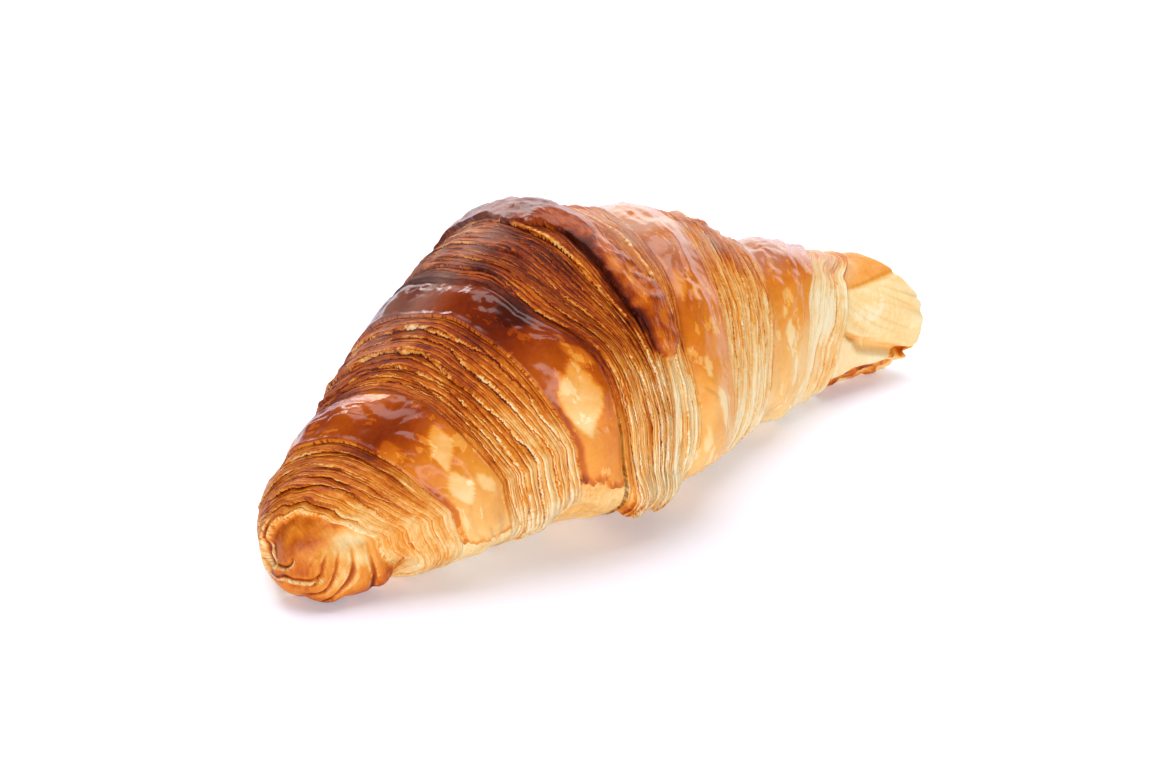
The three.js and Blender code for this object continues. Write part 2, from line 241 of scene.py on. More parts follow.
def layered_noise(points, octaves, seed):
    total, weight = 0.0, 1.0
    for octave in range(octaves):
        total = total + weight * noise(points * 2**octave, seed + octave)
        weight *= 0.5
    return total


# Noise over two coordinates only.
def flat_noise(x, y, seed):
    x, y = np.broadcast_arrays(x, y)
    return noise(np.stack([x, y, 0 * x], axis=-1), seed)


# Noise that runs round the roll and closes on itself. Radius sets how fast it changes.
def ring_noise(seed, angle, radius):
    x = np.radians(angle)
    seeds = np.broadcast_to(np.asarray(seed, float) * 7.31, np.broadcast_shapes(np.shape(seed), x.shape))
    turn = np.broadcast_to(x, seeds.shape)
    return noise(np.stack([radius * np.cos(turn) + 40, radius * np.sin(turn) + 40, seeds], axis=-1), 0)


# A monotone cubic through the values given at the stations.
def profile(values, x):
    slope = np.diff(values) / np.diff(STATIONS)
    product, total = slope[:-1] * slope[1:], slope[:-1] + slope[1:]
    inner = np.where(product > 0, 2 * product / (total + 1e-12), 0)
    tangent = np.concatenate([slope[:1], inner, slope[-1:]])
    i = np.clip(np.searchsorted(STATIONS, x, side="right") - 1, 0, len(STATIONS) - 2)
    width = STATIONS[i + 1] - STATIONS[i]
    t = (x - STATIONS[i]) / width
    return (
        values[i] * (1 + 2 * t) * (1 - t) ** 2
        + tangent[i] * width * t * (1 - t) ** 2
        + values[i + 1] * t * t * (3 - 2 * t)
        + tangent[i + 1] * width * t * t * (t - 1)
    )


def dome(t, power):
    return (1 - np.clip(t, 0, 1) ** power) ** (1 / power)


def wave(degrees):
    x = np.radians(degrees)
    return np.sin(x) - np.sin(3 * x) / 9


def lean_over(angle):
    return LEAN * (wave(angle - LEAN_START) + wave(LEAN_START))


def lean_along(top_share):
    ends = ease(0, 0.085, top_share) * ease(0, 0.075, 1 - top_share)
    return ends * (NEAR_LEAN - LEAN_CHANGE * ease(LEAN_CHANGE_START, LEAN_CHANGE_END, top_share))


# How far the edges of the zones stray from a plain slope.
def stray(top_share, angle):
    i = np.clip(np.searchsorted(ENDS, top_share, side="right") - 1, 0, len(ZONES) - 1)
    t = (top_share - ENDS[i]) / (ENDS[i + 1] - ENDS[i])
    j = np.clip(np.searchsorted(STRAY_ANGLES, angle, side="right") - 1, 0, len(STRAY_ANGLES) - 2)
    a = ease(STRAY_ANGLES[j], STRAY_ANGLES[j + 1], angle)
    near = STRAYS[i, j] + (STRAYS[i, j + 1] - STRAYS[i, j]) * a
    far = STRAYS[i + 1, j] + (STRAYS[i + 1, j + 1] - STRAYS[i + 1, j]) * a
    return near + (far - near) * t


def reach(along, angle):
    past = np.clip((along - 0.9) / 0.1, 0, 1)
    level = 0.5 + (course(FAR_ANGLES, FAR_LEVELS, angle) - 0.5) * ease(0, 0.35, 1 - past)
    return along - FAR_DRAW * past * (1 - level)


def wobble(top_share, angle):
    x = np.radians(angle)
    place = np.stack(np.broadcast_arrays(22 * top_share, 1.7 * np.cos(x) + 9, 1.7 * np.sin(x) + 9), axis=-1)
    inner = ease(0.03, 0.14, top_share) * ease(0.03, 0.16, 1 - top_share)
    return WOBBLE * inner * layered_noise(place, 2, seed=3)


# The plain loaf, without any relief: the places along the roll and the points.
def loaf(top_share, angle):
    lean = lean_along(top_share) * lean_over(angle) + stray(top_share, angle) + wobble(top_share, angle)
    along = np.clip(top_share + lean, 0, 1)
    full = dome(1 - along / NEAR_DOME, NEAR_DOME_POWER) * dome(1 - (1 - along) / FAR_DOME, FAR_DOME_POWER)
    height = profile(HEIGHTS, along)
    centre = CENTRE_SHARE * height
    x = np.radians(angle)
    up = np.cos(x)
    rise = np.where(up > 0, (height - centre) * up, -(centre + BASE_SINK) * np.abs(up) ** BASE_SQUARENESS)
    forward = NEAR_POLE_FORWARD * np.clip(1 - along / NEAR_DOME, 0, 1) ** 2
    return along, np.stack(
        [
            (reach(along, angle) - 0.5) * LENGTH,
            -profile(HALF_WIDTHS, along) * full * np.sin(x) - forward,
            centre + rise * full,
        ],
        axis=-1,
    )


# Where the rows of points lie: close together across the plies, further apart on the skins. For each row its
# top share, the number of its zone, and its place in that zone from 0 to 1.
def make_rows():
    rows, numbers, places = [], [], []
    start = 0.0
    for number, zone in enumerate(ZONES):
        if zone.name == "near_tip":
            count = NEAR_TIP_ROWS
            t = (np.arange(count) + 0.7) / count
            top = zone.end * t**1.5
        elif zone.name == "far_tip":
            count = FAR_TIP_ROWS
            t = (np.arange(count) + 0.3) / count
            top = 1 - (1 - start) * (1 - t) ** 1.5
        else:
            count = round((zone.end - start) * LENGTH / (PLY_SPACING if zone.cut else SKIN_SPACING))
            t = (np.arange(count) + 0.5) / count
            if not zone.cut:  # more rows at the lip
                lip = t**1.5
                t = lip if start < MIDDLE else 1 - lip[::-1]
            top = start + (zone.end - start) * t
        rows.append(top)
        places.append(t)
        numbers.append(np.full(count, number))
        start = zone.end
    return np.concatenate(rows), np.concatenate(numbers), np.concatenate(places)


# Overlapping layers across a cut edge. Inward is 0 at the crease and 1 at the lip of the skin above. The
# result is the height of a layer of unit step, its overhang, a value of its own, and its phase, which is a
# whole number at each rim, runs evenly from one rim to the next, and is the same at every lip.
def layers(inward, angle, size, mean, seed, rough):
    count = max(4, round(size / mean))
    widths = 0.3 + 1.5 * np.random.default_rng(seed).random(count) ** 1.6
    places = (np.cumsum(widths)[:-1] / widths.sum())[:, None]
    number = np.arange(1, count)[:, None]
    drift = 0.60 * ring_noise(number + seed, angle, 1.6)
    drift = drift + 0.22 * rough * ring_noise(number + seed + 61, angle, 6.0)
    drift = drift + 0.07 * rough * ring_noise(number + seed + 67, angle, 24.0)
    inner = np.maximum.accumulate(places + drift / count, axis=0)
    edges = np.concatenate([np.full((1, angle.size), -0.01), inner, np.full((1, angle.size), 1.01)])
    inward = np.broadcast_to(inward, (inward.shape[0], angle.size))
    index = np.zeros(inward.shape, int)
    for k in range(1, count):
        index += inward > edges[k][None, :]
    column = np.arange(angle.size)[None, :]
    low, high = edges[index, column], edges[index + 1, column]
    wide = np.maximum(high - low, 1e-4)
    part = np.clip((inward - low) / wide, 0, 1)
    past_rim = part * wide * size  # in millimetres, like the next one
    to_next = (1 - part) * wide * size

    every = np.arange(count)[:, None] + seed
    strength = 0.8 + 0.9 * ring_noise(every + 131, angle, 2.2) + 0.35 * ring_noise(every + 197, angle, 9.0)
    strength = np.clip(strength, 0.05, 1.5)[index, column] * np.clip(wide * count, 0.25, 1.5)
    own = 0.9 * ring_noise(every + 251, angle, 2.4) + 0.4 * ring_noise(every + 257, angle, 9.0)
    riser = ease(0, 0.12 * mean, past_rim)
    notch = 0.35 * (1 - ease(0, 0.16 * mean, to_next))
    height = strength * (riser * (1 - 0.9 * part) - notch - 0.2)
    over = strength * bump(past_rim, 0.12 * mean, 0.15 * mean)
    return height, over, own[index, column], LIP_PHASE + index + part - count


Plies = namedtuple("Plies", "relief over own ledge leaf")


def cut_edge(inward, angle, size, seed, rough=1.0):
    ledge_height, ledge_over, ledge_own, ledge_phase = layers(inward, angle, size, LEDGE_SIZE, seed, rough)
    leaf_height, leaf_over, leaf_own, leaf_phase = layers(inward, angle, size, LEAF_SIZE, seed + 400, rough)
    relief = LEDGE_STEP * ledge_height + LEAF_STEP * leaf_height
    over = PLY_OVERHANG * (ledge_over + 0.3 * leaf_over)
    return Plies(relief, over, 0.15 * ledge_own + 0.12 * leaf_own, ledge_phase, leaf_phase)


# The two rims that curl in at the heart of the near tip: their relief, where they are, and the painted shade
# in the hollow just inside each of them.
def curled_rims(points):
    centre = loaf(np.array([[HEART_CENTRE[0]]]), np.array([[HEART_CENTRE[1]]]))[1][0, 0]
    across, up = (points - centre) @ TIP_ACROSS, (points - centre) @ TIP_UP
    radius = np.hypot(across, up) + 0.15 * noise(points / 2.2, seed=51)
    turn = (HOOK_START - np.degrees(np.arctan2(up, across))) % 360
    relief, rims, gap_shades = 0.0, 0.0, 0.0
    for turns, distances, start, stop in (INNER_RIM, OUTER_RIM):
        shown = ease(0, start, turn) * (1 - ease(stop - 30, stop, turn))
        past = radius - np.interp(turn, turns, distances)
        relief = relief + shown * (0.40 * bump(past, 0.30, 0.55) - 0.55 * bump(past, -0.45, 0.80))
        rims = np.maximum(rims, shown * bump(past, 0.12, 0.26))
        gap_shades = np.maximum(gap_shades, shown * bump(past, -0.30, 0.32))
    return relief, rims, gap_shades


# The form of each zone is worked out for its own rows. T is the place in the zone from 0 at its start to 1 at
# its end, and inward is 0 on the side of the nearer tip and 1 on the side of the middle.
Rows = namedtuple("Rows", "number zone top_share angle t inward base dents folds")
# A form has the relief and the overhang in millimetres, how brown and how flaky it is, where its rims are and
# where shade is painted into its gaps, the phases of its plies and leaves, and how clearly those show as
# lines.
FORM_KEYS = ("relief", "over", "brown", "ply", "rim", "gap", "ledge", "leaf", "lined")


def zone_tone(zone, angle):
    from_top = np.abs(angle) * np.where(angle < 0, BACK_SHARE, 1)
    return np.interp(from_top, BROWN_ANGLES, (*zone.browns, zone.browns[-1]))


# The near tip: plies wind round a smooth heart, and a pleated foot stands in front below it.
def near_tip_form(rows):
    angle, top_share = rows.angle, rows.top_share
    heart = course(HEART_ANGLES, HEART_EDGE, angle)
    share = (top_share - heart) / (rows.zone.end - heart)
    winding = ease(-0.02, 0.03, share)  # 0 on the heart and 1 on the plies
    inside = np.clip((heart - top_share) * LENGTH, 0, None)
    front = ease(40, 70, angle) * (1 - ease(150, 175, angle))
    plies = cut_edge(np.clip(share, 0, 1), angle, WINDING_SIZE, 7, WINDING_ROUGHNESS)
    calm = 0.85 * (1 - 0.7 * ease(0, 45, -angle)) * (1 - 0.5 * ease(50, 85, angle))
    curl, curl_rim, curl_gap_shade = curled_rims(rows.base)

    tilt = 0.00045 * (angle - 90) * (1 - ease(0.028, 0.042, top_share))
    pleat = np.abs(np.sin(np.pi * ((top_share + tilt) / PLEAT + 0.35 * ring_noise(88, angle, 5.0))))
    pleated = ease(76, 100, angle) * ease(0.012, 0.020, top_share) * ease(0, 1.0, inside)
    foot = FOOT_RISE * front * ease(0.008, 0.026, top_share) * bump(angle, 114, 40)
    inner = foot - HEART_DEPTH * (1 - 0.5 * ease(0, 6, inside))
    inner = inner + PLEAT_DEPTH * pleated * (np.sqrt(pleat) - 0.7)
    relief = winding * (calm * plies.relief + 0.2) + (1 - winding) * inner + curl
    relief -= NOTCH_DEPTH * bump(top_share, 0.057, 0.009) * bump(angle, NOTCH_ANGLE, 34)

    rim = np.maximum(0.9 * curl_rim, 0.6 * bump(share, 0.02, 0.035))
    # A paler line on the side of each pleat groove: a painted highlight.
    rim = np.maximum(rim, 0.5 * pleated * bump(pleat, 0.62, 0.2))
    # Painted shade in the pleat grooves.
    groove_shade = 1.6 * pleated * (1 - ease(0.1, 0.5, pleat))
    edge_shade = 0.7 * front * (1 - winding) * (1 - ease(0, 1.0, inside))
    # Painted shade: in the hollows inside the curled rims, in the pleat grooves, along the heart's border in
    # front under the winding plies, and in the notch beside the foot.
    gap = np.maximum(np.maximum(1.6 * curl_gap_shade, groove_shade), edge_shade)
    gap = gap + 1.6 * bump(top_share, 0.055, 0.006) * bump(angle, NOTCH_ANGLE, 26)
    lined = 0.85 * winding * (1 - 0.45 * ease(50, 85, angle)) * (1 - curl_rim) * ease(0.01, 0.02, top_share)

    pale = bump(top_share, 0.040, 0.022) * bump(angle, 84, 26)
    inner_tone = 0.54 - 0.05 * front * ease(50, 78, angle) - 0.26 * pale
    inner_tone = inner_tone + 0.26 * pleated * ease(104, 126, angle)
    inner_tone = inner_tone + 0.10 * noise(rows.base / 2.2, seed=57) - 0.16 * curl_rim
    brown = winding * (zone_tone(rows.zone, angle) + plies.own) + (1 - winding) * inner_tone
    return dict(
        relief=relief,
        over=winding * calm * plies.over,
        brown=brown,
        ply=0.50 + 0.30 * winding,
        rim=rim,
        gap=gap,
        ledge=plies.ledge,
        leaf=plies.leaf,
        lined=lined,
    )


# The far tip: a broad pale fold in front, a browner one on top, and a lower one with a crumpled edge.
def far_tip_form(rows):
    angle, t = rows.angle, rows.t
    bend = 3.0 * flat_noise(2.6 * t, angle / 25.0, seed=85)
    upper, lower = 40 - 10 * t + bend, 77 + 40 * t + bend  # the broad fold lies between these angles
    broad = ease(0, 5, angle - upper) * (1 - ease(-5, 0, angle - lower))
    below = ease(0, 6, angle - lower) * (1 - ease(114, 120, angle))
    fold = ease(-30, -10, angle) * (1 - ease(-3, 1, angle - upper))
    rays = np.abs(flat_noise(1.3 * t, (angle - 70 * t) / 7.0, seed=83)) - 0.3
    low_edge = 110 - 14 * t + 5 * flat_noise(7 * t, 0 * angle, seed=89)
    crumpled = ease(0, 3, angle - low_edge) * (1 - ease(135, 160, angle)) * (1 - ease(0.5, 0.75, t))
    crumples = noise(rows.base / 1.4, seed=91)
    groove = 0.5 * bump(angle, upper, 5) + 1.8 * bump(angle, lower + 2, 6) + 1.5 * bump(angle, 120, 6)
    groove = groove + 0.8 * bump(angle, -70, 16)

    relief = 1.3 * broad * bump(angle, (upper + lower) / 2, 42) * ease(0.05, 0.5, t) + 0.5 * below
    relief = relief - FAR_STEP * (1 - ease(0.05, 0.6, t))
    relief = relief + 0.8 * rays * broad * ease(0, 0.3, t) * (1 - ease(0.6, 0.9, t))
    relief = relief + crumpled * (1.2 * crumples - 1.3)
    relief = relief - FAR_NECK * bump(angle, -5, 55) * bump(t, 0.25, 0.35)
    relief = relief - groove * ease(0, 0.2, t) * (1 - ease(0.82, 1, t))

    brown = 0.12 + 0.24 * fold - 0.05 * below - 0.10 * rays * broad
    brown = brown + crumpled * (0.42 + 0.4 * crumples)
    brown = brown + 0.32 * bump(angle, lower + 3, 8) * ease(0.45, 0.9, t)
    # Painted shade in the crease where the far tip starts and in the grooves between its folds.
    gap = np.clip(1 - ease(0, 0.05, t) + 0.4 * groove * ease(0, 0.1, t), 0, 1)
    return dict(relief=relief, brown=brown, ply=0.35, gap=gap)


# A cut edge: plies all the way, with a crease on the side of the nearer tip.
def edge_form(rows):
    size = (rows.zone.end - ENDS[rows.number]) * LENGTH
    plies = cut_edge(rows.inward, rows.angle, size, 13 * rows.number)
    amount = FAINT_SHARE if rows.zone.name == FAINT_EDGE else 1.0
    return dict(
        relief=amount * plies.relief + CREASE_DEPTH * (rows.inward - 1),
        over=amount * plies.over,
        brown=zone_tone(rows.zone, rows.angle) + plies.own,
        ply=0.4 + 0.6 * amount,
        # Painted shade in the crease on the side of the nearer tip.
        gap=0.4 * (1 - ease(0, 0.03, rows.inward)),
        ledge=plies.ledge,
        leaf=plies.leaf,
        lined=0.4 + 0.6 * amount,
    )


# A skin: a lip, a soft bulge with dents and folds, and on the two near ones a free lower edge in front.
def skin_form(rows):
    angle, inward = rows.angle, rows.inward
    lip = np.clip(0.75 + 0.45 * ring_noise(300 + rows.number, angle, 3.0), 0.25, 1.2) * LIP_RISE
    middle = np.sin(np.pi * inward)
    relief = lip * ease(0, 0.022, inward) + SKIN_BULGE * middle
    relief = relief - (lip + CREASE_DEPTH) * inward**2
    relief = relief + (DENT_DEPTH * rows.dents + FOLD_DEPTH * rows.folds) * middle**0.6
    brown = zone_tone(rows.zone, angle)
    ply = 0.0
    if rows.zone.name in LOW_EDGES:
        edge = LOW_EDGES[rows.zone.name] + LOW_EDGE_SLANT * inward
        edge = edge + 2.5 * ring_noise(rows.number, 360 * inward, 4.0)
        free = angle - edge
        browned = bump(inward, 0.05, 0.10) * ease(58, 80, angle) + 0.8 * bump(free, -1.5, 3.5)
        brown = brown + 0.24 * browned * (1 - ease(-1, 0.5, free)) - 0.12 * ease(0, 1.5, free)
        relief = relief - LOW_EDGE_STEP * ease(-0.8, 0.8, free) * (1 - ease(0.75, 1, inward))
        ply = 0.9 * ease(0, 1.5, free)
    return dict(
        relief=relief,
        over=LIP_OVERHANG * bump(inward, 0.03, 0.05),
        brown=brown,
        ply=ply,
        rim=0.8 * bump(inward, 0.0, 0.035),
        # Painted shade where the skin dips into the crease on the side of the middle.
        gap=0.35 * ease(0.95, 1, inward),
    )


def zone_form(rows):
    if rows.zone.name == "near_tip":
        return near_tip_form(rows)
    if rows.zone.name == "far_tip":
        return far_tip_form(rows)
    return edge_form(rows) if rows.zone.cut else skin_form(rows)


# Lay the tongue over the form of the zones. Its left border is crumbly and dark in front. The result says
# where it is raised.
def lay_tongue(form, top_share, angle, base, dents, folds):
    past = np.clip((angle - TONGUE_END + TONGUE_ROUND) / TONGUE_ROUND, 0, 1)
    half = course(TONGUE_ANGLES, TONGUE_HALF, angle) * np.sqrt(1 - past**2)
    offset = top_share - course(TONGUE_ANGLES, TONGUE_CENTRE, angle)
    ragged = 1 + 0.16 * ring_noise(401, angle, 14.0) + 0.14 * ring_noise(402, angle, 5.0)
    side = offset / np.maximum(half * np.where(offset < 0, ragged, 1.0), 1e-6)  # from -1 to 1 on the tongue

    crumbly = ease(0, 20, angle)
    knobs = layered_noise(base / 2.4, 2, seed=95)
    right_share = 0.6 + 0.3 * ease(35, 50, angle)
    height = TONGUE_RISE * np.where(side < 0, 1, right_share) * (1 - 0.4 * np.abs(side) ** 4)
    height = height + (0.6 * dents + 0.4 * folds - 0.2 * CREASE_DEPTH + 0.5 * crumbly * knobs)
    raised = (np.abs(side) < 1) & (height > form.relief)
    form.relief = np.where(raised, height, form.relief)
    form.over = np.where(raised, 0.5 * bump(np.abs(side), 0.95, 0.1), form.over)

    border = crumbly * ease(-1.42, -1.25, side) * (1 - ease(-0.95, -0.86, side)) * (angle < TONGUE_END - 2)
    border = border * (0.7 + 0.6 * noise(base / 2.0, seed=97))
    bordered = np.clip(border, 0, 1)
    form.rim = np.where(raised, 0.35 * bump(side, 0.97, 0.1), form.rim * (1 - bordered))
    form.gap = np.where(raised, 0, form.gap)
    form.lined = np.where(raised, 0, form.lined * (1 - 0.8 * bordered))
    form.ply = np.where(raised, 0.25 + 0.6 * crumbly * bump(side, -0.95, 0.55), form.ply)
    tone = np.interp(angle, TONGUE_TONE_ANGLES, TONGUE_TONES) + 0.16 * crumbly * knobs
    tone = tone + crumbly * (0.16 * bump(side, -1, 0.6) + 0.1 * bump(side, 1, 0.25))
    form.brown = np.where(raised, tone, form.brown) + 0.30 * np.clip(border, 0, 1.2)
    return raised


# The change in browning from all patches.
def spot_tone(top_share, angle, along, base):
    ragged = 0.09 * layered_noise(base / 2.6, 2, seed=37) + 0.30 * noise(base / 6.0, seed=38)
    total = 0.0
    for centre, degrees, long_mm, round_mm, turn, change in SPOTS:
        dx = (top_share - centre) * LENGTH
        dy = np.radians(angle - degrees) * profile(HALF_WIDTHS, along)
        c, s = math.cos(math.radians(turn)), math.sin(math.radians(turn))
        across, down = (dx * c + dy * s) / long_mm, (dy * c - dx * s) / round_mm
        distance = (np.abs(across) ** 1.25 + np.abs(down) ** 1.25) ** 0.8 + ragged
        total = total + change * (1 - ease(0.80, 1.04, distance))
    return total


# A painted sheen on the tops, pale and pinkish where the lights would glance off them: faint towards the near
# tip and clear beyond the belly.
def painted_top_sheen(top_share, angle, base, raised):
    near = 0.35 * ease(0.18, 0.24, top_share) * (1 - ease(-14, 8, angle))
    far = ease(0.40, 0.56, top_share) * (1 - ease(8, 44, angle)) * (1 - ease(0.84, 0.90, top_share))
    bloom = np.maximum(near, far) * ease(-75, -35, angle) * np.where(raised, 0.3, 1.0)
    return bloom * np.clip(0.75 + 0.9 * noise(base / 5.0, seed=93), 0.1, 1)


# The way out of the loaf. Between the tips it has no part along the roll, so that plies stay across it.
def outward(base, top_share):
    edge_rows = np.gradient(base, axis=0)
    edge_columns = np.roll(base, -1, axis=1) - np.roll(base, 1, axis=1)
    normal = np.cross(edge_columns, edge_rows)
    body = ease(0.08, 0.125, top_share) * ease(0.1, 0.16, 1 - top_share)
    normal[..., 0] *= 1 - body
    return normal / np.maximum(np.linalg.norm(normal, axis=-1, keepdims=True), 1e-9)


# The whole surface: its points in rows and columns, the top share of each row, the places along and round
# the roll in millimetres, and the values that the material needs.
def croissant_grid():
    top_rows, numbers, places = make_rows()
    top_share = top_rows[:, None]
    angle = (np.arange(COLUMNS) / COLUMNS) * 360 - 180
    along, base = loaf(top_share, angle)
    normal = outward(base, top_share)
    lumps = layered_noise(base / 17.0, 2, seed=11)
    dents = layered_noise(base / 6.5, 3, seed=17)
    turned = np.radians(angle) * profile(HALF_WIDTHS, along)
    flow = np.stack([top_share * LENGTH + 0 * turned, turned, 0 * turned], axis=-1)
    bent = flow + 1.6 * noise(flow / 7.0, seed=18)[..., None]
    folds = np.abs(noise(bent / np.array([2.6, 7.5, 1.0]), seed=19)) - 0.3
    folds = folds + 0.4 * (np.abs(noise(bent / np.array([1.2, 3.0, 1.0]), seed=21)) - 0.3)

    form = SimpleNamespace(**{key: np.zeros(along.shape) for key in FORM_KEYS})
    for number, zone in enumerate(ZONES):
        here = np.nonzero(numbers == number)[0]
        t = places[here][:, None]
        inward = t if zone.end <= MIDDLE else 1 - t
        rows = Rows(number, zone, top_share[here], angle, t, inward, base[here], dents[here], folds[here])
        for key, value in zone_form(rows).items():
            vars(form)[key][here] = value
    raised = lay_tongue(form, top_share, angle, base, dents, folds)

    torn = layered_noise(flow / np.array([0.9, 4.5, 1.0]), 2, seed=29)
    crumbs = noise(flow / np.array([0.7, 3.4, 1.0]), seed=31)
    crumbs = crumbs * np.clip(0.3 + 1.5 * noise(flow / 9.0, seed=33), 0, 1)
    tab = ease(0.404, 0.412, along) * (1 - ease(0.466, 0.480, along)) * ease(100, 112, angle)
    relief = form.relief + LUMP_DEPTH * lumps + 0.10 * torn * form.ply + 0.15 * crumbs * form.rim
    relief = relief + TAB_RISE * tab * (1 - ease(127, 131, angle))
    for centre, long_reach, degrees, round_reach, depth in HOLLOWS:
        relief = relief - depth * bump(along, centre, long_reach) * bump(angle, degrees, round_reach)
    relief = relief + SADDLE_RISE * bump(top_share, 0.835, 0.045) * bump(angle, 0, 60)

    fade = 1 - ease(128, 158, np.abs(angle))  # the underside stays plain
    toward_tip = np.where(top_share < MIDDLE, -1.0, 1.0)
    points = base + normal * (relief * fade)[..., None]
    points[..., 0] += toward_tip * form.over * fade
    points[..., 2] = np.maximum(points[..., 2], 0)

    form.brown = form.brown + 0.20 * tab * ease(112, 126, angle) + spot_tone(top_share, angle, along, base)
    form.brown = form.brown + 0.07 * layered_noise(base / 12.0, 2, seed=41)
    form.brown = form.brown - 0.08 * ease(7, 1, points[..., 2])
    # Painted sheen on the tops, kept as an attribute for the material.
    form.bloom = painted_top_sheen(top_share, angle, base, raised)
    values = {key: value for key, value in vars(form).items() if key not in ("relief", "over")}
    return SimpleNamespace(points=points, top_rows=top_rows, flow=flow, values=values)


# Smooth normals of the whole grid, so that its parts meet without a seam.
def grid_normals(points):
    down = np.gradient(points, axis=0)
    across = np.roll(points, -1, axis=1) - np.roll(points, 1, axis=1)
    normal = np.cross(across, down)
    return normal / np.maximum(np.linalg.norm(normal, axis=-1, keepdims=True), 1e-12)


# The faces of a tube of rows, closed by a fan at each end: their corners, and how many corners each face has.
def tube_faces(count):
    at = np.arange(count * COLUMNS).reshape(count, COLUMNS)
    right = np.roll(at, -1, axis=1)
    quads = np.stack([at[:-1], right[:-1], right[1:], at[1:]], axis=-1).reshape(-1, 4)
    near_middle = count * COLUMNS
    far_middle = near_middle + 1
    near = np.stack([np.full(COLUMNS, near_middle), right[0], at[0]], axis=-1)
    far = np.stack([np.full(COLUMNS, far_middle), at[-1], right[-1]], axis=-1)
    corners = np.concatenate([quads.ravel(), near.ravel(), far.ravel()])
    return corners, np.concatenate([np.full(len(quads), 4), np.full(2 * COLUMNS, 3)])


FAN_SHARE = 0.02  # the share of the flat map that the fan at each end takes


# A flat map of those faces, corner by corner: round the roll to the right, and along it upwards.
def flat_map(points):
    border = np.arange(COLUMNS + 1) / COLUMNS
    left, right = border[:-1], border[1:]
    middle = (left + right) / 2
    up = np.cumsum([0, *np.linalg.norm(np.diff(points, axis=0), axis=-1).mean(axis=1)])
    up = FAN_SHARE + (1 - 2 * FAN_SHARE) * up / up[-1]
    sideways = np.stack([left, right, right, left], axis=-1)[None, :, :]
    upwards = np.stack([up[:-1], up[:-1], up[1:], up[1:]], axis=-1)[:, None, :]
    quads = np.stack(np.broadcast_arrays(sideways, upwards), axis=-1)
    near_up = np.tile([0, FAN_SHARE, FAN_SHARE], (COLUMNS, 1))
    near = np.stack([np.stack([middle, right, left], axis=-1), near_up], axis=-1)
    far = np.stack([np.stack([middle, left, right], axis=-1), 1 - near_up], axis=-1)
    return np.concatenate([quads.ravel(), near.ravel(), far.ravel()])


def make_piece(name, grid, normals, first, last, material):
    points = grid.points[first:last]
    vertices = np.concatenate([points.reshape(-1, 3), points[[0, -1]].mean(axis=1)])
    corners, sizes = tube_faces(len(points))
    mesh = bpy.data.meshes.new(name)
    mesh.vertices.add(len(vertices))
    mesh.vertices.foreach_set("co", vertices.ravel())
    mesh.loops.add(len(corners))
    mesh.loops.foreach_set("vertex_index", corners)
    mesh.polygons.add(len(sizes))
    mesh.polygons.foreach_set("loop_start", np.concatenate([[0], np.cumsum(sizes)[:-1]]))
    mesh.polygons.foreach_set("loop_total", sizes)
    mesh.update(calc_edges=True)
    mesh.uv_layers.new(name="OFBake").data.foreach_set("uv", flat_map(points).astype(np.float32))
    mesh.validate()

    for key, value in grid.values.items():
        held = np.concatenate([value[first:last].ravel(), value[[first, last - 1]].mean(axis=1)])
        mesh.attributes.new(key, "FLOAT", "POINT").data.foreach_set("value", held.astype(np.float32))
    flow = np.concatenate([grid.flow[first:last].reshape(-1, 3), np.zeros((2, 3))]).astype(np.float32)
    mesh.attributes.new("flow", "FLOAT_VECTOR", "POINT").data.foreach_set("vector", flow.ravel())
    piece = bpy.data.objects.new(name, mesh)
    bpy.context.scene.collection.objects.link(piece)
    mesh.materials.append(material)
    mesh.polygons.foreach_set("use_smooth", np.ones(len(sizes), bool))
    cap_normals = np.array([[-1.0, 0, 0], [1.0, 0, 0]])
    held = np.concatenate([normals[first:last].reshape(-1, 3), cap_normals])
    mesh.normals_split_custom_set_from_vertices(held.tolist())
    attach(piece, "root")
    return piece


# The share of the light that the crust gives back, from the colour it has in a bright picture.
PICTURE_LIGHT = 0.78
# From pale dough to dark crust.
BAKED = [
    (0.00, "#FFEDC4"), (0.12, "#FDDDA0"), (0.25, "#F8C274"), (0.38, "#F1A040"), (0.50, "#DF7C1E"),
    (0.62, "#C15A0A"), (0.74, "#9D3C05"), (0.86, "#762506"), (1.00, "#4A1405"),
]
# The painted sheen: a pale pinkish colour mixed over the tops in place of the lights' glancing reflection,
# and how much of it is mixed in.
PAINTED_SHEEN_COLOUR = "#DDBBA8"
PAINTED_SHEEN_SHARE = 0.6

# How far each thing moves the tone of the crust, where more is browner.
CLOUD_TONE = 0.26
LEAVES_TONE = 0.40
FLECKS_TONE = 0.40
OWN_TONE = 0.35
LEDGE_RIM_TONE = -0.34
LEAF_RIM_TONE = -0.22
# Painted shade in the crevices before the rims of plies and leaves.
LEDGE_GAP_SHADE_TONE = 0.26
LEAF_GAP_SHADE_TONE = 0.18
BLISTER_TONE = -0.12
RIM_TONE = -0.42
# Painted shade in gaps, creases and grooves.
GAP_SHADE_TONE = 0.20
SPECK_TONE = 0.10


def srgb(code):
    parts = [int(code[i : i + 2], 16) / 255 for i in (1, 3, 5)]
    linear = [c / 12.92 if c <= 0.04045 else ((c + 0.055) / 1.055) ** 2.4 for c in parts]
    return (*[PICTURE_LIGHT * c for c in linear], 1.0)


